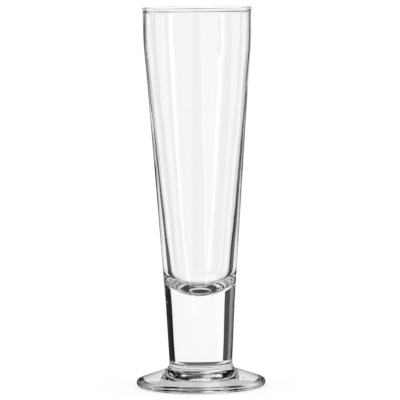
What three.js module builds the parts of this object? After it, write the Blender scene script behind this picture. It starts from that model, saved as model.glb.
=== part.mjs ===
// A tall footed pilsner glass in clear soda-lime glass, standing on z = 0 with its axis on +Z.
// Three hot-fused pieces, each a solid of revolution: the foot, the solid stem and the blown bowl.
// They meet in flat discs: foot to stem at the top of the foot's neck, stem to bowl under the bowl's floor.
// All sizes are in millimetres.
import * as THREE from 'three';

// Driving dimensions of the foot
const footHeight = 18.8;
const footRadius = 39.8;
const footEdgeRadius = 2.2;
const restRingWidth = 3.7;
const undersideHollow = 6;
const neckHeight = 8;
const neckFillet = 6;

// Driving dimensions of the stem
const stemHeight = 33.2;
const stemTopRadius = 21.3;
const stemFootRadius = 19.6;

// Driving dimensions of the bowl
const bowlHeight = 181.4;
const lipRadius = 33.15;
const lipHeight = 20;
const lipWall = 1.25;
const sideDip = 0.35;
const sideDipDepth = 42;
const evenWall = 1.3;
const evenWallDepth = 60;
const baseWall = 5.2;
const sideBlendRadius = 600;
const floorThickness = 4;
const beadRadius = 1;
const beadOverhang = 0.4;

// Facets round the axis, and steps along each curved stretch of a profile
const facets = 64;
const fineSteps = 12;
const coarseSteps = 6;
const sideSteps = 3;

// Levels of the two fused discs and of the rim
const stemLevel = footHeight;
const bowlLevel = footHeight + stemHeight;
const rimLevel = bowlLevel + bowlHeight;

// The ends of the stem's side in the (radius, height) plane of a profile
const stemFoot = new THREE.Vector2(stemFootRadius, stemLevel);
const stemTop = new THREE.Vector2(stemTopRadius, bowlLevel);

// The point of a circle at an angle in radians, in the plane of a profile
function onCircle(centre, radius, angle) {
  return new THREE.Vector2(centre.x + radius * Math.cos(angle), centre.y + radius * Math.sin(angle));
}

// Points along a circle from one angle to another, both ends included
function arc(centre, radius, startAngle, endAngle, steps) {
  const points = [];
  for (let i = 0; i <= steps; i += 1) {
    points.push(onCircle(centre, radius, startAngle + ((endAngle - startAngle) * i) / steps));
  }
  return points;
}

// A tangent arc that rounds a corner of a profile, limited to half of its shorter side
function roundedCorner(before, corner, after, radius, steps) {
  const toBefore = before.clone().sub(corner);
  const toAfter = after.clone().sub(corner);
  const shorterSide = Math.min(toBefore.length(), toAfter.length());
  toBefore.normalize();
  toAfter.normalize();
  const halfAngle = Math.acos(THREE.MathUtils.clamp(toBefore.dot(toAfter), -1, 1)) / 2;
  const setback = Math.min(radius / Math.tan(halfAngle), shorterSide / 2);
  const usedRadius = setback * Math.tan(halfAngle);
  const bisector = toBefore.clone().add(toAfter).normalize();
  const centre = corner.clone().addScaledVector(bisector, usedRadius / Math.sin(halfAngle));
  const start = corner.clone().addScaledVector(toBefore, setback).sub(centre);
  const end = corner.clone().addScaledVector(toAfter, setback).sub(centre);
  const turn = Math.atan2(start.cross(end), start.dot(end));
  return arc(centre, usedRadius, start.angle(), start.angle() + turn, steps);
}

// The corners of one side of the bowl, each rounded by the side's blend
function blendedSide(points) {
  return points
    .slice(1, -1)
    .flatMap((corner, i) => roundedCorner(points[i], corner, points[i + 2], sideBlendRadius, sideSteps));
}

// The radius of a straight taper at a height
function taperRadius(low, high, height) {
  return THREE.MathUtils.mapLinear(height, low.y, high.y, low.x, high.x);
}

// A closed profile turned round the axis. It runs from the axis, up the outside and back to the axis.
function revolve(name, profile, material) {
  const geometry = new THREE.LatheGeometry(profile, facets);
  geometry.rotateX(Math.PI / 2);
  const mesh = new THREE.Mesh(geometry, material);
  mesh.name = name;
  return mesh;
}

function clearGlass(tint) {
  return new THREE.MeshStandardMaterial({ color: tint, roughness: 0.03, metalness: 0 });
}

// The foot: a hollow underneath, a flat ring to stand on, a rounded edge, a sloping top and a short
// neck that runs on in the stem's taper.
function makeFoot() {
  const edgeCentre = new THREE.Vector2(footRadius - footEdgeRadius, footEdgeRadius);
  const restRingInner = edgeCentre.x - restRingWidth;
  const hollowRadius = (restRingInner ** 2 + undersideHollow ** 2) / (2 * undersideHollow);
  const hollowCentre = new THREE.Vector2(0, undersideHollow - hollowRadius);
  const hollowRimAngle = Math.atan2(-hollowCentre.y, restRingInner);

  // The sloping top is the tangent from the neck's root to the rounded edge
  const rootLevel = footHeight - neckHeight;
  const neckRoot = new THREE.Vector2(taperRadius(stemFoot, stemTop, rootLevel), rootLevel);
  const fromEdge = neckRoot.clone().sub(edgeCentre);
  const tangentAngle = fromEdge.angle() - Math.acos(footEdgeRadius / fromEdge.length());
  const slopeStart = onCircle(edgeCentre, footEdgeRadius, tangentAngle);

  const profile = [
    ...arc(hollowCentre, hollowRadius, Math.PI / 2, hollowRimAngle, coarseSteps),
    ...arc(edgeCentre, footEdgeRadius, -Math.PI / 2, tangentAngle, fineSteps),
    ...roundedCorner(slopeStart, neckRoot, stemFoot, neckFillet, fineSteps),
    stemFoot,
    new THREE.Vector2(0, stemLevel),
  ];
  profile[0].x = 0;
  return revolve('foot', profile, clearGlass(0xdfe8e6));
}

// The stem: solid glass that tapers down to the foot's neck.
function makeStem() {
  const profile = [
    new THREE.Vector2(0, stemLevel),
    stemFoot,
    stemTop,
    new THREE.Vector2(0, bowlLevel),
  ];
  return revolve('stem', profile, clearGlass(0xe3ebe9));
}

// The bowl: a tapering wall that dips a little below its upright lip, thickens towards a
// round-bottomed hollow and ends at the top in a fire-polished bead.
function makeBowl() {
  const beadCentre = new THREE.Vector2(lipRadius + beadOverhang - beadRadius, rimLevel - beadRadius);
  const lipInner = lipRadius - lipWall;
  const beadOuterAngle = -Math.acos((lipRadius - beadCentre.x) / beadRadius);
  const beadInnerAngle = 2 * Math.PI - Math.acos((lipInner - beadCentre.x) / beadRadius);

  // The outside, from the fused disc to the bead
  const lipCorner = new THREE.Vector2(lipRadius, rimLevel - lipHeight);
  const dipLevel = rimLevel - sideDipDepth;
  const dip = new THREE.Vector2(taperRadius(stemTop, lipCorner, dipLevel) - sideDip, dipLevel);
  const lipTop = new THREE.Vector2(lipRadius, beadCentre.y);

  // The hollow's side: an even wall under the lip, then a wall that thickens down to the floor level
  const innerLipTop = new THREE.Vector2(lipInner, beadCentre.y);
  const innerLipCorner = new THREE.Vector2(lipInner, lipCorner.y);
  const innerDip = new THREE.Vector2(dip.x - evenWall, dip.y);
  const evenLevel = rimLevel - evenWallDepth;
  const evenCorner = new THREE.Vector2(taperRadius(stemTop, dip, evenLevel) - evenWall, evenLevel);
  const floorLevel = bowlLevel + floorThickness;
  const floorCorner = new THREE.Vector2(taperRadius(stemTop, dip, floorLevel) - baseWall, floorLevel);

  // The hollow's bottom: a sphere on the axis, tangent to the thickening wall and to the floor level
  const flare = Math.atan2(evenCorner.x - floorCorner.x, evenCorner.y - floorCorner.y);
  const bottomRadius = (floorCorner.x * Math.cos(flare)) / (1 - Math.sin(flare));
  const bottomCentre = new THREE.Vector2(0, floorLevel + bottomRadius);
  const bottomStart = onCircle(bottomCentre, bottomRadius, -flare);

  const profile = [
    new THREE.Vector2(0, bowlLevel),
    stemTop,
    ...blendedSide([stemTop, dip, lipCorner, lipTop]),
    ...arc(beadCentre, beadRadius, beadOuterAngle, beadInnerAngle, fineSteps),
    ...blendedSide([innerLipTop, innerLipCorner, innerDip, evenCorner, bottomStart]),
    ...arc(bottomCentre, bottomRadius, -flare, -Math.PI / 2, fineSteps),
  ];
  profile[profile.length - 1].x = 0;
  return revolve('bowl', profile, clearGlass(0xe8efee));
}

const glass = new THREE.Group();
glass.name = 'footed_beer_glass';
glass.add(makeFoot(), makeStem(), makeBowl());

export default glass;
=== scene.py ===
# A tall footed pilsner glass in clear glass on a pale floor, lit from all round, with dark cards at its sides
# and dark floor patches that paint shade into the glass.
import math

import bmesh
import bpy
from mathutils import Matrix, Vector


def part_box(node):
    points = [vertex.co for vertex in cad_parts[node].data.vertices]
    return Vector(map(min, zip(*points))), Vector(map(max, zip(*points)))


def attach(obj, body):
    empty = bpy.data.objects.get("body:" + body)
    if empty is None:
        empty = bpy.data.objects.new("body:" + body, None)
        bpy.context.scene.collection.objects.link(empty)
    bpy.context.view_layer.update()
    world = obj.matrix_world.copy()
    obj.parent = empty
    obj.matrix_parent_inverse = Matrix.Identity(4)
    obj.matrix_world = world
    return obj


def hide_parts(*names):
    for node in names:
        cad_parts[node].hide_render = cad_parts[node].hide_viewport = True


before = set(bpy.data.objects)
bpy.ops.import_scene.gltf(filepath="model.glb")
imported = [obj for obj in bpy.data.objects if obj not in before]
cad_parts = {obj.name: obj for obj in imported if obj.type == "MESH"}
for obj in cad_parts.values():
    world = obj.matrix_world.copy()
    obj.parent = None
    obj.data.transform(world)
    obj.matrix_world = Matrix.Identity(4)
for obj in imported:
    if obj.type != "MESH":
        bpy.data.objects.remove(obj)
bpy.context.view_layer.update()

MM = 0.001

# Levels and radii of the glass that the frame's solids give
STEM_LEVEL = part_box("stem")[0].z
BOWL_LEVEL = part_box("bowl")[0].z
RIM_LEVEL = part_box("bowl")[1].z
FOOT_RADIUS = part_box("foot")[1].x
STEM_TOP_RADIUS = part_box("stem")[1].x
RIM_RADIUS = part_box("bowl")[1].x

# Driving dimensions of the foot
FOOT_EDGE_RADIUS = 2.2 * MM
REST_RING_WIDTH = 3.7 * MM
UNDERSIDE_HOLLOW = 6 * MM
HOLLOW_RIM_ROUNDING = 0.5 * MM
NECK_HEIGHT = 8 * MM
NECK_FILLET = 6 * MM

# Driving dimensions of the stem, and its taper
STEM_FOOT_RADIUS = 19.6 * MM
STEM_FOOT = Vector((STEM_FOOT_RADIUS, STEM_LEVEL))
STEM_TOP = Vector((STEM_TOP_RADIUS, BOWL_LEVEL))
STEM_TAPER = (STEM_TOP.x - STEM_FOOT.x) / (STEM_TOP.y - STEM_FOOT.y)

# Driving dimensions of the bowl
LIP_HEIGHT = 20 * MM
LIP_WALL = 1.25 * MM
SIDE_DIP = 0.35 * MM
SIDE_DIP_DEPTH = 42 * MM
EVEN_WALL = 1.3 * MM
EVEN_WALL_DEPTH = 60 * MM
BASE_WALL = 5.2 * MM
SIDE_BLEND_RADIUS = 600 * MM
FLOOR_THICKNESS = 4 * MM
BEAD_RADIUS = 1 * MM
BEAD_OVERHANG = 0.4 * MM
LIP_RADIUS = RIM_RADIUS - BEAD_OVERHANG

# How finely the surfaces are turned: facets round the axis, and the longest steps along a profile
FACETS = 256
ARC_STEP = math.radians(5)
LONGEST_STEP = 2 * MM

# The glass, and the waves in its surface
GLASS_TINT = (0.993, 0.996, 0.995, 1)
GLASS_IOR = 1.52
WAVE_WIDTH = 14 * MM
WAVE_LENGTH = 40 * MM
WAVE_DEPTH = 0.2 * MM

# The most times that a ray crosses the surface of the glass, and that it is mirrored
GLASS_BOUNCES = 32
MIRROR_BOUNCES = 16

# The camera, found from the photograph's outline
CAMERA_DISTANCE = 2.03
CAMERA_HEIGHT = 0.2925
CAMERA_SIDE = 0.6 * MM
CAMERA_PITCH = math.radians(5)
CAMERA_ROLL = math.radians(-0.65)
CAMERA_LENS = 298

# The floor
FLOOR_LEVEL = -0.3 * MM
FLOOR_SIZE = 60
FLOOR_SHADE = 0.35
FLOOR_REFLECTED = 0.05
FLOOR_GLOW = 0.68

# The room, with a round lamp in its dark ceiling; both show only through the glass, as painted light and
# shade
ROOM_LIGHT = 1
ROOM_REFLECTED = 0.06
CEILING_SHADE = 0.10
CEILING_START = math.sin(math.radians(22))
CEILING_END = math.sin(math.radians(32))
LAMP_BEARING = math.radians(-50)
LAMP_RISE = math.radians(50)
LAMP_REACH = math.radians(28)
LAMP_EDGE = math.radians(4)

# What parts the rays: more mirrorings than none, and fewer crossings than the four through the hollow
SOME_MIRRORINGS = 0.5
FEW_CROSSINGS = 3.5

# The shade under the hollow of the foot
SHADOW_LEVEL = FLOOR_LEVEL / 2
SHADOW_BEHIND = 10 * MM
SHADOW_CORE = 19 * MM
SHADOW_REACH = 25 * MM
SHADOW_SHADE = 0.05

# The shades on the floor behind the foot and all round it. Bearings are in degrees from +Y towards +X.
CONTACT_SHADE = 0.12
BACK_SHADE_LEVEL = FLOOR_LEVEL * 2 / 3
BACK_SHADE_BEARINGS = (-32, 40)
BACK_SHADE_START = 48 * MM
BACK_SHADE_CORE = 100 * MM
BACK_SHADE_REACH = 135 * MM
SIDE_SHADE_LEVEL = FLOOR_LEVEL / 2
SIDE_SHADE_BEARINGS = (0, 360)
SIDE_SHADE_START = 52 * MM
SIDE_SHADE_FULL = 66 * MM
SIDE_SHADE_CORE = 135 * MM
SIDE_SHADE_REACH = 165 * MM

# How much longer than the way from the stem's middle, at a rise, the way of a ray to those shades is
BACK_SHADE_RISE = math.radians(19.4)
BACK_PATH_LEAST = -20 * MM
BACK_PATH_MOST = 2 * MM
SIDE_SHADE_RISE = math.radians(25)
SIDE_PATH_LEAST = 4.5 * MM
SIDE_PATH_MOST = 20 * MM

# The upright dark cards at the sides of the stem, which show only through the glass as painted dark bands
STEM_CARD_TOP = 64 * MM
CARD_STEP = math.radians(4)

# Radius of a near and a far card, and how much longer than the shortest a way from the stem's middle may be
NEAR_CARD = (80 * MM, 5.8 * MM)
FAR_CARD = (150 * MM, 4.2 * MM)
MIDDLE_PATH_SLACK = 1.5 * MM

# Name, radius with spread, bearings and shade of each card of painted shade at the sides of the stem
STEM_SHADE_CARDS = (
    ("card_right", NEAR_CARD, (32.6, 92), 0.01),
    ("card_left_near", FAR_CARD, (-42, -28.4), 0.015),
    ("card_left_middle", FAR_CARD, (-52, -42), 0.25),
    ("card_left_far", FAR_CARD, (-62, -52), 0.10),
    ("card_front", NEAR_CARD, (92, 225), 0.02),
    ("card_front_far", FAR_CARD, (225, 298), 0.02),
)

# The upright cards that paint dark lines into the mirrors inside the glass, and the painted shade on the
# floor between them and the foot
INNER_CARD_RADIUS = 115 * MM
SIDE_CARD_TOP = 45 * MM
FRONT_CARD_TOP = 300 * MM
APRON_LEVEL = FLOOR_LEVEL / 3
APRON_START = 42 * MM
APRON_SHADE = 0.03

# Name, low and high level, bearings at each of them and shade of each inner card
INNER_SHADE_CARDS = (
    ("card_right_high", SIDE_CARD_TOP, RIM_LEVEL, (37, 80), (36, 55), 0.03),
    ("card_left_high", SIDE_CARD_TOP, RIM_LEVEL, (-74, -44), (-54, -38), 0.03),
    ("card_front_right", 0, FRONT_CARD_TOP, (92, 205), (92, 180), 0.04),
    ("card_front_left", 0, FRONT_CARD_TOP, (-125, -85), (-125, -85), 0.04),
    ("card_side_right", 0, SIDE_CARD_TOP, (30, 92), (37, 80), 0.03),
    ("card_side_left", 0, SIDE_CARD_TOP, (-85, -30), (-74, -44), 0.03),
)

# Name and bearings of each stretch of that painted shade on the floor
SHADED_APRONS = (
    ("shaded_apron_right", (30, 115)),
    ("shaded_apron_left", (-115, -30)),
)

# The strip lights, seen only as painted highlights mirrored in the glass. Across a strip, its sides lie half
# a width from its middle.
STRIP_GLOW = 3
STRIP_SIDE = 0.5
STRIP_NEAR_WIDTH = 0.04
STRIP_FAR_WIDTH = 0.40
STRIP_HEIGHT = 0.35

# Name of each strip, and the places of its near and its far end, in metres from the axis of the glass
STRIPS = (
    ("strip_left", (-0.082, -0.218), (-1.18, -0.77)),
    ("strip_right", (0.08, -0.253), (1.0, -0.69)),
)


def on_circle(centre, radius, angle):
    """The point of a circle at an angle, in the (radius, height) plane of a profile."""
    return centre + radius * Vector((math.cos(angle), math.sin(angle)))


def arc(centre, radius, start, end):
    """Points along a circle from one angle to another, both ends included."""
    turn = abs(end - start)
    steps = math.ceil(max(turn / ARC_STEP, turn * radius / LONGEST_STEP))
    return [on_circle(centre, radius, start + (end - start) * i / steps) for i in range(steps + 1)]


def rounded_corner(before, corner, after, radius):
    """A tangent arc that rounds a corner of a profile, limited to half of its shorter side."""
    to_before = before - corner
    to_after = after - corner
    shorter_side = min(to_before.length, to_after.length)
    half_angle = to_before.angle(to_after) / 2
    setback = min(radius / math.tan(half_angle), shorter_side / 2)
    used_radius = setback * math.tan(half_angle)
    bisector = (to_before.normalized() + to_after.normalized()).normalized()
    centre = corner + bisector * used_radius / math.sin(half_angle)
    start = corner + to_before.normalized() * setback - centre
    end = corner + to_after.normalized() * setback - centre
    start_angle = math.atan2(start.y, start.x)
    turn = math.atan2(start.x * end.y - start.y * end.x, start.dot(end))
    return arc(centre, used_radius, start_angle, start_angle + turn)


def blended_side(points):
    """The corners of one side of the bowl, each rounded by the side's blend."""
    corners = []
    for before, corner, after in zip(points, points[1:], points[2:]):
        corners += rounded_corner(before, corner, after, SIDE_BLEND_RADIUS)
    return corners


def taper_radius(low, high, height):
    """The radius of a straight taper at a height."""
    return low.x + (high.x - low.x) * (height - low.y) / (high.y - low.y)


def is_seam(start, end):
    """True for a flat disc where two pieces are fused: a level stretch that runs in to the axis."""
    return min(start.x, end.x) == 0 and start.y == end.y


def fine_profile(points):
    """The same profile with its long stretches cut into short ones, except for the fused discs."""
    fine = [points[0]]
    for start, end in zip(points, points[1:]):
        steps = 1 if is_seam(start, end) else math.ceil((end - start).length / LONGEST_STEP)
        fine += [start.lerp(end, i / steps) for i in range(1, steps + 1)]
    return fine


def turned_mesh(name, profile):
    """A closed profile turned round the axis. Its fused discs are flat and have the second material."""
    mesh_maker = bmesh.new()
    points = fine_profile(profile)
    rings = []
    for point in points:
        count = 1 if point.x == 0 else FACETS
        angles = [math.tau * i / FACETS for i in range(count)]
        places = [(point.x * math.cos(a), point.x * math.sin(a), point.y) for a in angles]
        rings.append([mesh_maker.verts.new(place) for place in places])
    for start, end, low, high in zip(points, points[1:], rings, rings[1:]):
        seam = is_seam(start, end)
        for i in range(FACETS):
            j = (i + 1) % FACETS
            corners = [low[i % len(low)], low[j % len(low)], high[j % len(high)], high[i % len(high)]]
            face = mesh_maker.faces.new(list(dict.fromkeys(corners)))
            face.material_index = 1 if seam else 0
            face.smooth = not seam
    for edge in mesh_maker.edges:
        edge.smooth = len({face.smooth for face in edge.link_faces}) == 1
    mesh = bpy.data.meshes.new(name)
    mesh_maker.to_mesh(mesh)
    mesh_maker.free()
    return mesh


def add_piece(name, node, profile, materials):
    """A turned piece of glass that stands for a node."""
    mesh = turned_mesh(name, profile)
    for material in materials:
        mesh.materials.append(material)
    piece = bpy.data.objects.new(name, mesh)
    bpy.context.scene.collection.objects.link(piece)
    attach(piece, "root")
    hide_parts(node)


def make_foot(materials):
    """The foot: a hollow underneath, a flat ring to stand on, a rounded edge, a sloping top
    and a short neck that runs on in the stem's taper."""
    edge_centre = Vector((FOOT_RADIUS - FOOT_EDGE_RADIUS, FOOT_EDGE_RADIUS))
    ring_outer = Vector((edge_centre.x, 0))
    ring_inner = Vector((edge_centre.x - REST_RING_WIDTH, 0))
    hollow_radius = (ring_inner.x**2 + UNDERSIDE_HOLLOW**2) / (2 * UNDERSIDE_HOLLOW)
    hollow_centre = Vector((0, UNDERSIDE_HOLLOW - hollow_radius))
    hollow = arc(hollow_centre, hollow_radius, math.pi / 2, math.atan2(-hollow_centre.y, ring_inner.x))
    hollow[0].x = 0

    # The sloping top is the tangent from the neck's root to the rounded edge
    root_level = STEM_LEVEL - NECK_HEIGHT
    neck_root = Vector((taper_radius(STEM_FOOT, STEM_TOP, root_level), root_level))
    from_edge = neck_root - edge_centre
    tangent_angle = math.atan2(from_edge.y, from_edge.x) - math.acos(FOOT_EDGE_RADIUS / from_edge.length)
    slope_start = on_circle(edge_centre, FOOT_EDGE_RADIUS, tangent_angle)

    profile = hollow[:-1]
    profile += rounded_corner(hollow[-2], ring_inner, ring_outer, HOLLOW_RIM_ROUNDING)
    profile += arc(edge_centre, FOOT_EDGE_RADIUS, -math.pi / 2, tangent_angle)
    profile += rounded_corner(slope_start, neck_root, STEM_FOOT, NECK_FILLET)
    profile += [STEM_FOOT, Vector((0, STEM_LEVEL))]
    add_piece("glass_foot", "foot", profile, materials)


def make_stem(materials):
    """The stem: solid glass that tapers down to the foot's neck."""
    profile = [Vector((0, STEM_LEVEL)), STEM_FOOT, STEM_TOP, Vector((0, BOWL_LEVEL))]
    add_piece("glass_stem", "stem", profile, materials)


def make_bowl(materials):
    """The bowl: a tapering wall that dips a little below its upright lip, thickens towards a
    round-bottomed hollow and ends at the top in a fire-polished bead."""
    bead_centre = Vector((RIM_RADIUS - BEAD_RADIUS, RIM_LEVEL - BEAD_RADIUS))
    lip_inner = LIP_RADIUS - LIP_WALL
    bead_outer_angle = -math.acos((LIP_RADIUS - bead_centre.x) / BEAD_RADIUS)
    bead_inner_angle = math.tau - math.acos((lip_inner - bead_centre.x) / BEAD_RADIUS)

    # The outside, from the fused disc to the bead
    lip_corner = Vector((LIP_RADIUS, RIM_LEVEL - LIP_HEIGHT))
    dip_level = RIM_LEVEL - SIDE_DIP_DEPTH
    dip = Vector((taper_radius(STEM_TOP, lip_corner, dip_level) - SIDE_DIP, dip_level))
    lip_top = Vector((LIP_RADIUS, bead_centre.y))

    # The hollow's side: an even wall under the lip, then a wall that thickens down to the floor level
    inner_lip_top = Vector((lip_inner, bead_centre.y))
    inner_lip_corner = Vector((lip_inner, lip_corner.y))
    inner_dip = Vector((dip.x - EVEN_WALL, dip.y))
    even_level = RIM_LEVEL - EVEN_WALL_DEPTH
    even_corner = Vector((taper_radius(STEM_TOP, dip, even_level) - EVEN_WALL, even_level))
    floor_level = BOWL_LEVEL + FLOOR_THICKNESS
    floor_corner = Vector((taper_radius(STEM_TOP, dip, floor_level) - BASE_WALL, floor_level))

    # The hollow's bottom: a sphere on the axis, tangent to the thickening wall and to the floor level
    flare = math.atan2(even_corner.x - floor_corner.x, even_corner.y - floor_corner.y)
    bottom_radius = floor_corner.x * math.cos(flare) / (1 - math.sin(flare))
    bottom_centre = Vector((0, floor_level + bottom_radius))
    bottom = arc(bottom_centre, bottom_radius, -flare, -math.pi / 2)
    bottom[-1].x = 0

    profile = [Vector((0, BOWL_LEVEL)), STEM_TOP]
    profile += blended_side([STEM_TOP, dip, lip_corner, lip_top])
    profile += arc(bead_centre, BEAD_RADIUS, bead_outer_angle, bead_inner_angle)
    profile += blended_side([inner_lip_top, inner_lip_corner, inner_dip, even_corner, bottom[0]])
    profile += bottom
    add_piece("glass_bowl", "bowl", profile, materials)


def make_clear_glass():
    """Clear soda-lime glass with the faint waves that pressing and fire-polishing leave on it."""
    material = bpy.data.materials.new("clear_glass")
    material.use_nodes = True
    tree = material.node_tree
    shader = tree.nodes["Principled BSDF"]
    shader.inputs["Base Color"].default_value = GLASS_TINT
    shader.inputs["Roughness"].default_value = 0
    shader.inputs["IOR"].default_value = GLASS_IOR
    shader.inputs["Transmission Weight"].default_value = 1
    place = tree.nodes.new("ShaderNodeTexCoord")
    stretch = tree.nodes.new("ShaderNodeMapping")
    stretch.inputs["Scale"].default_value = (1 / WAVE_WIDTH, 1 / WAVE_WIDTH, 1 / WAVE_LENGTH)
    tree.links.new(place.outputs["Object"], stretch.inputs["Vector"])
    waves = tree.nodes.new("ShaderNodeTexNoise")
    waves.inputs["Scale"].default_value = 1
    waves.inputs["Detail"].default_value = 1
    tree.links.new(stretch.outputs["Vector"], waves.inputs["Vector"])
    bump = tree.nodes.new("ShaderNodeBump")
    bump.inputs["Strength"].default_value = 1
    bump.inputs["Distance"].default_value = WAVE_DEPTH
    tree.links.new(waves.outputs["Fac"], bump.inputs["Height"])
    tree.links.new(bump.outputs["Normal"], shader.inputs["Normal"])
    return material


def empty_material(name):
    """A material without nodes."""
    material = bpy.data.materials.new(name)
    material.use_nodes = True
    material.node_tree.nodes.clear()
    return material


def set_surface(tree, shader):
    """Makes a shader the surface of its material."""
    output = tree.nodes.new("ShaderNodeOutputMaterial")
    tree.links.new(shader, output.inputs["Surface"])


def make_fused_seam():
    """The inside of a fused joint, where glass runs on into glass and nothing shows."""
    material = empty_material("fused_seam")
    clear = material.node_tree.nodes.new("ShaderNodeBsdfTransparent")
    set_surface(material.node_tree, clear.outputs["BSDF"])
    return material


def feed(tree, value, socket):
    """Links a socket to another one, or sets it to a number."""
    if isinstance(value, bpy.types.NodeSocket):
        tree.links.new(value, socket)
    else:
        socket.default_value = value


def calculate(tree, operation, *values):
    """The result of an operation on values; each is a socket or a number."""
    node = tree.nodes.new("ShaderNodeMath")
    node.operation = operation
    for value, socket in zip(values, node.inputs):
        feed(tree, value, socket)
    return node.outputs["Value"]


def mix_values(tree, first, second, factor):
    """A value that goes from one to another with a factor; the two are sockets or numbers."""
    node = tree.nodes.new("ShaderNodeMix")
    node.data_type = "FLOAT"
    feed(tree, first, node.inputs["A"])
    feed(tree, second, node.inputs["B"])
    tree.links.new(factor, node.inputs["Factor"])
    return node.outputs["Result"]


def map_range(tree, value, source, target, interpolation="LINEAR"):
    """A value that goes from end to end of a target range as another one crosses a source range."""
    node = tree.nodes.new("ShaderNodeMapRange")
    node.interpolation_type = interpolation
    for name, number in zip(("From Min", "From Max", "To Min", "To Max"), (*source, *target)):
        node.inputs[name].default_value = number
    tree.links.new(value, node.inputs["Value"])
    return node.outputs["Result"]


def add_stage_mesh(name, places, faces, material):
    """A mesh of the studio, which isn't part of the glass."""
    mesh = bpy.data.meshes.new(name)
    mesh.from_pydata(places, [], faces)
    mesh.materials.append(material)
    thing = bpy.data.objects.new(name, mesh)
    bpy.context.scene.collection.objects.link(thing)
    return thing


def make_pale_floor():
    """A pale surface that looks white itself and through the glass, and keeps a faint shadow; in reflections
    it is painted dark.
    """
    material = empty_material("pale_floor")
    tree = material.node_tree
    ray = tree.nodes.new("ShaderNodeLightPath")
    tone = mix_values(tree, FLOOR_SHADE, FLOOR_REFLECTED, ray.outputs["Is Glossy Ray"])
    tone = mix_values(tree, tone, FLOOR_SHADE, ray.outputs["Is Transmission Ray"])
    shade = tree.nodes.new("ShaderNodeBsdfDiffuse")
    tree.links.new(tone, shade.inputs["Color"])
    strength = mix_values(tree, 0, FLOOR_GLOW, ray.outputs["Is Camera Ray"])
    strength = mix_values(tree, strength, FLOOR_GLOW, ray.outputs["Is Transmission Ray"])
    glow = tree.nodes.new("ShaderNodeEmission")
    tree.links.new(strength, glow.inputs["Strength"])
    both = tree.nodes.new("ShaderNodeAddShader")
    tree.links.new(shade.outputs["BSDF"], both.inputs[0])
    tree.links.new(glow.outputs["Emission"], both.inputs[1])
    set_surface(tree, both.outputs["Shader"])
    return material


def make_floor():
    """The floor that the glass stands on."""
    half = FLOOR_SIZE / 2
    places = [(-half, -half, FLOOR_LEVEL), (half, -half, FLOOR_LEVEL)]
    places += [(half, half, FLOOR_LEVEL), (-half, half, FLOOR_LEVEL)]
    add_stage_mesh("floor", places, [(0, 1, 2, 3)], make_pale_floor())


def below_ceiling(tree, direction):
    """A value that falls from 1 below the ceiling of the room to the ceiling's shade."""
    split = tree.nodes.new("ShaderNodeSeparateXYZ")
    tree.links.new(direction, split.inputs["Vector"])
    return map_range(tree, split.outputs["Z"], (CEILING_START, CEILING_END), (1, CEILING_SHADE))


def inside_lamp(tree, direction):
    """A value that is 1 inside the lamp in the ceiling and falls to 0 across the lamp's edge."""
    middle = Vector((math.sin(LAMP_BEARING), math.cos(LAMP_BEARING), math.tan(LAMP_RISE)))
    aim = tree.nodes.new("ShaderNodeVectorMath")
    aim.operation = "DOT_PRODUCT"
    aim.inputs[1].default_value = middle.normalized()
    tree.links.new(direction, aim.inputs[0])
    edge = (math.cos(LAMP_REACH + LAMP_EDGE), math.cos(LAMP_REACH))
    return map_range(tree, aim.outputs["Value"], edge, (0, 1))


def make_room():
    """The room: white to the eye and, below its dark ceiling, through the glass; dark in reflections. The
    ceiling's shade and its lamp show only through the glass, as painted shade and light.
    """
    world = bpy.data.worlds.new("room")
    world.use_nodes = True
    tree = world.node_tree
    ray = tree.nodes.new("ShaderNodeLightPath")
    direction = tree.nodes.new("ShaderNodeTexCoord").outputs["Generated"]
    strength = mix_values(tree, ROOM_LIGHT, ROOM_REFLECTED, ray.outputs["Is Glossy Ray"])
    through = mix_values(tree, below_ceiling(tree, direction), 1, inside_lamp(tree, direction))
    strength = mix_values(tree, strength, through, ray.outputs["Is Transmission Ray"])
    strength = mix_values(tree, strength, 1, ray.outputs["Is Camera Ray"])
    light = tree.nodes["Background"]
    light.inputs["Color"].default_value = (1, 1, 1, 1)
    tree.links.new(strength, light.inputs["Strength"])
    bpy.context.scene.world = world


def both_of(tree, first, second):
    """A value that is the product of two others."""
    return calculate(tree, "MULTIPLY", first, second)


def opposite(tree, value):
    """A value that is 1 where another is 0, and 0 where it is 1."""
    return calculate(tree, "SUBTRACT", 1, value)


def thrown_back(tree):
    """A value that is 1 for a ray that was mirrored inside the glass on its way, and 0 for others."""
    ray = tree.nodes.new("ShaderNodeLightPath")
    mirrorings = calculate(tree, "SUBTRACT", ray.outputs["Ray Depth"], ray.outputs["Transmission Depth"])
    return calculate(tree, "GREATER_THAN", mirrorings, SOME_MIRRORINGS)


def outside_hollow(tree):
    """A value that is 1 for a ray that crossed solid glass only, and 0 for one that crossed the hollow."""
    ray = tree.nodes.new("ShaderNodeLightPath")
    return calculate(tree, "LESS_THAN", ray.outputs["Transmission Depth"], FEW_CROSSINGS)


def straight_through(tree):
    """A value that is 1 for a ray that went straight on through solid glass, and 0 for others."""
    return both_of(tree, outside_hollow(tree), opposite(tree, thrown_back(tree)))


def way_near(tree, length, slack):
    """A value that is 1 for a ray whose way from the glass is as long as a length, give or take a slack,
    and 0 for others."""
    ray = tree.nodes.new("ShaderNodeLightPath")
    return calculate(tree, "COMPARE", ray.outputs["Ray Length"], length, slack)


def from_stem_middle(tree, card_radius, spread):
    """A value that is 1 for a ray that comes to a card from the middle of the stem, and 0 for others. The
    middle is nearest to the card: a ray that leaves the side of the stem has a longer way."""
    nearest = card_radius - STEM_FOOT_RADIUS
    length = nearest + (spread - MIDDLE_PATH_SLACK) / 2
    return way_near(tree, length, (spread + MIDDLE_PATH_SLACK) / 2)


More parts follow.
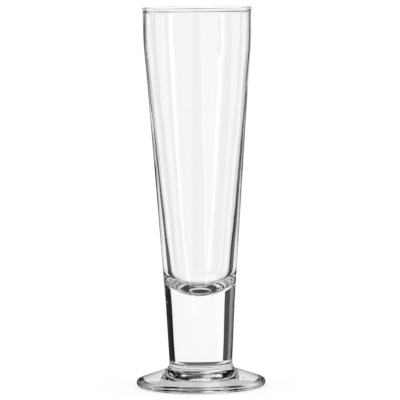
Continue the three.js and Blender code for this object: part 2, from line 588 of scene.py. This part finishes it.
def way_past_middle(tree, rise, least, most):
    """A value that is 1 for a ray whose way to the floor is longer, by an amount within two limits, than
    the way from the stem's middle to the same ring of the floor at a rise, and 0 for others."""
    place = tree.nodes.new("ShaderNodeNewGeometry")
    ring = tree.nodes.new("ShaderNodeVectorMath")
    ring.operation = "LENGTH"
    tree.links.new(place.outputs["Position"], ring.inputs[0])
    slope = 1 / math.cos(rise)
    offset = (least + most) / 2 - slope * STEM_FOOT_RADIUS
    length = calculate(tree, "MULTIPLY_ADD", ring.outputs["Value"], slope, offset)
    return way_near(tree, length, (most - least) / 2)


def from_stem_side(tree):
    """A value that is 1 for a ray that comes down to the floor from the side of the stem, and 0 for
    others."""
    return way_past_middle(tree, SIDE_SHADE_RISE, SIDE_PATH_LEAST, SIDE_PATH_MOST)


def low_through_solid(tree):
    """A value that is 1 for a low ray that crossed solid glass only, and 0 for others."""
    low = way_past_middle(tree, BACK_SHADE_RISE, BACK_PATH_LEAST, BACK_PATH_MOST)
    return both_of(tree, low, outside_hollow(tree))


def near_spot(tree, spot, core, reach):
    """A value that falls from 1 inside a core round a spot on the floor to 0 at its reach."""
    place = tree.nodes.new("ShaderNodeNewGeometry")
    offset = tree.nodes.new("ShaderNodeVectorMath")
    offset.operation = "DISTANCE"
    offset.inputs[1].default_value = spot
    tree.links.new(place.outputs["Position"], offset.inputs[0])
    return map_range(tree, offset.outputs["Value"], (core, reach), (1, 0), "SMOOTHSTEP")


def make_dark_material(name, shade, seen):
    """A dark surface for the rays that a test picks, which paints shade into what the glass shows. Other rays
    pass through it.
    """
    material = empty_material(name)
    tree = material.node_tree
    dark = tree.nodes.new("ShaderNodeEmission")
    dark.inputs["Color"].default_value = (shade, shade, shade, 1)
    clear = tree.nodes.new("ShaderNodeBsdfTransparent")
    mix = tree.nodes.new("ShaderNodeMixShader")
    tree.links.new(seen(tree), mix.inputs["Fac"])
    tree.links.new(clear.outputs["BSDF"], mix.inputs[1])
    tree.links.new(dark.outputs["Emission"], mix.inputs[2])
    set_surface(tree, mix.outputs["Shader"])
    return material


def show_only_in_glass(thing, through, mirrored):
    """Hides a thing of the studio, except where it shows through the glass or is mirrored in it."""
    thing.visible_camera = False
    thing.visible_diffuse = False
    thing.visible_shadow = False
    thing.visible_transmission = through
    thing.visible_glossy = mirrored


def make_band(name, low_edge, high_edge, material):
    """A band of the studio between two edges. Each edge has a radius round the glass, a level and a
    pair of bearings."""
    widest = max(end - start for _, _, (start, end) in (low_edge, high_edge))
    steps = math.ceil(math.radians(widest) / CARD_STEP)
    places = []
    for radius, level, (start, end) in (low_edge, high_edge):
        for i in range(steps + 1):
            bearing = math.radians(start + (end - start) * i / steps)
            places.append((radius * math.sin(bearing), radius * math.cos(bearing), level))
    row = steps + 1
    faces = [(i, i + 1, row + i + 1, row + i) for i in range(steps)]
    band = add_stage_mesh(name, places, faces, material)
    show_only_in_glass(band, through=True, mirrored=False)


def make_stem_shadow():
    """The shade under the foot's hollow, which shows only in the mirrors inside the glass."""
    spot = (0, SHADOW_BEHIND, SHADOW_LEVEL)

    def seen(tree):
        return both_of(tree, near_spot(tree, spot, SHADOW_CORE, SHADOW_REACH), thrown_back(tree))

    material = make_dark_material("stem_shadow", SHADOW_SHADE, seen)
    angles = [math.tau * i / FACETS for i in range(FACETS)]
    places = [(FOOT_RADIUS * math.cos(a), FOOT_RADIUS * math.sin(a), SHADOW_LEVEL) for a in angles]
    shadow = add_stage_mesh("stem_shadow", places, [tuple(range(FACETS))], material)
    show_only_in_glass(shadow, through=True, mirrored=False)


def make_back_shade():
    """A shade on the floor behind the foot, which fades away from it and shows to low rays."""
    spot = (0, 0, BACK_SHADE_LEVEL)

    def seen(tree):
        near = near_spot(tree, spot, BACK_SHADE_CORE, BACK_SHADE_REACH)
        return both_of(tree, near, low_through_solid(tree))

    material = make_dark_material("contact_shade_back", CONTACT_SHADE, seen)
    low_edge = (BACK_SHADE_START, BACK_SHADE_LEVEL, BACK_SHADE_BEARINGS)
    high_edge = (BACK_SHADE_REACH, BACK_SHADE_LEVEL, BACK_SHADE_BEARINGS)
    make_band("contact_shade_back", low_edge, high_edge, material)


def make_side_shade():
    """A ring of shade on the floor that shows at the sides of the stem from above."""
    spot = (0, 0, SIDE_SHADE_LEVEL)

    def seen(tree):
        beyond_foot = opposite(tree, near_spot(tree, spot, SIDE_SHADE_START, SIDE_SHADE_FULL))
        ring = both_of(tree, beyond_foot, near_spot(tree, spot, SIDE_SHADE_CORE, SIDE_SHADE_REACH))
        return both_of(tree, ring, both_of(tree, straight_through(tree), from_stem_side(tree)))

    material = make_dark_material("side_shade", CONTACT_SHADE, seen)
    low_edge = (SIDE_SHADE_START, SIDE_SHADE_LEVEL, SIDE_SHADE_BEARINGS)
    high_edge = (SIDE_SHADE_REACH, SIDE_SHADE_LEVEL, SIDE_SHADE_BEARINGS)
    make_band("side_shade", low_edge, high_edge, material)


def make_stem_shade_card(name, radius_and_spread, bearings, shade):
    """An upright curved dark card that leans out with the stem's taper. Seen only through the glass, it
    paints dark bands at the sides of the stem.
    """
    radius, spread = radius_and_spread

    def seen(tree):
        return both_of(tree, straight_through(tree), opposite(tree, from_stem_middle(tree, radius, spread)))

    material = make_dark_material(name, shade, seen)
    low_edge = (radius, 0, bearings)
    high_edge = (radius + STEM_CARD_TOP * STEM_TAPER, STEM_CARD_TOP, bearings)
    make_band(name, low_edge, high_edge, material)


def make_inner_shade_card(name, low, high, low_bearings, high_bearings, shade):
    """An upright curved dark card that shows only in the mirrors inside the glass, where it paints dark
    lines.
    """
    material = make_dark_material(name, shade, thrown_back)
    low_edge = (INNER_CARD_RADIUS, low, low_bearings)
    high_edge = (INNER_CARD_RADIUS, high, high_bearings)
    make_band(name, low_edge, high_edge, material)


def make_shaded_apron(name, bearings):
    """A stretch of painted shade on the floor between the foot and an inner card, which shows only in the
    mirrors inside the glass.
    """
    material = make_dark_material(name, APRON_SHADE, thrown_back)
    low_edge = (APRON_START, APRON_LEVEL, bearings)
    high_edge = (INNER_CARD_RADIUS, APRON_LEVEL, bearings)
    make_band(name, low_edge, high_edge, material)


def make_strip_light():
    """Light that fades from the middle of a strip to its sides."""
    material = empty_material("strip_light")
    tree = material.node_tree
    place = tree.nodes.new("ShaderNodeUVMap")
    split = tree.nodes.new("ShaderNodeSeparateXYZ")
    tree.links.new(place.outputs["UV"], split.inputs["Vector"])
    off_middle = calculate(tree, "ABSOLUTE", split.outputs["X"])
    glow = tree.nodes.new("ShaderNodeEmission")
    strength = map_range(tree, off_middle, (STRIP_SIDE, 0), (0, STRIP_GLOW), "SMOOTHSTEP")
    tree.links.new(strength, glow.inputs["Strength"])
    set_surface(tree, glow.outputs["Emission"])
    return material


def make_strip(name, near, far, material):
    """A strip light that widens along the floor and stands up at its far end. It shows only as a streak
    mirrored in the glass, a painted highlight."""
    near_end = Vector((*near, 0))
    far_end = Vector((*far, 0))
    sideways = (far_end - near_end).normalized().cross(Vector((0, 0, 1)))
    top = far_end + Vector((0, 0, STRIP_HEIGHT))
    rows = ((near_end, STRIP_NEAR_WIDTH), (far_end, STRIP_FAR_WIDTH), (top, STRIP_FAR_WIDTH))
    sides = (-STRIP_SIDE, STRIP_SIDE)
    places = [middle + sideways * width * side for middle, width in rows for side in sides]
    strip = add_stage_mesh(name, places, [(0, 1, 3, 2), (2, 3, 5, 4)], material)
    across = strip.data.uv_layers.new(name="across")
    for loop in strip.data.loops:
        across.data[loop.index].uv = (sides[loop.vertex_index % 2], 0)
    show_only_in_glass(strip, through=False, mirrored=True)


def make_camera():
    """A long lens at the photograph's viewing angle."""
    data = bpy.data.cameras.new("camera")
    data.lens = CAMERA_LENS
    camera = bpy.data.objects.new("camera", data)
    place = Matrix.Translation((CAMERA_SIDE, -CAMERA_DISTANCE, CAMERA_HEIGHT))
    tilt = Matrix.Rotation(math.pi / 2 - CAMERA_PITCH, 4, "X")
    roll = Matrix.Rotation(CAMERA_ROLL, 4, "Z")
    camera.matrix_world = place @ tilt @ roll
    bpy.context.scene.collection.objects.link(camera)
    bpy.context.scene.camera = camera


make_camera()

glass = (make_clear_glass(), make_fused_seam())
make_foot(glass)
make_stem(glass)
make_bowl(glass)

make_floor()
make_room()
# The painted shade: dark patches on the floor and dark cards that show only through or inside the glass
make_stem_shadow()
make_back_shade()
for stem_shade_card in STEM_SHADE_CARDS:
    make_stem_shade_card(*stem_shade_card)
make_side_shade()
for inner_shade_card in INNER_SHADE_CARDS:
    make_inner_shade_card(*inner_shade_card)
for shaded_apron in SHADED_APRONS:
    make_shaded_apron(*shaded_apron)
strip_light = make_strip_light()
for strip_ends in STRIPS:
    make_strip(*strip_ends, strip_light)

scene = bpy.context.scene
scene.view_settings.view_transform = "Standard"
scene.cycles.max_bounces = GLASS_BOUNCES
scene.cycles.transmission_bounces = GLASS_BOUNCES
scene.cycles.glossy_bounces = MIRROR_BOUNCES
scene.cycles.transparent_max_bounces = GLASS_BOUNCES
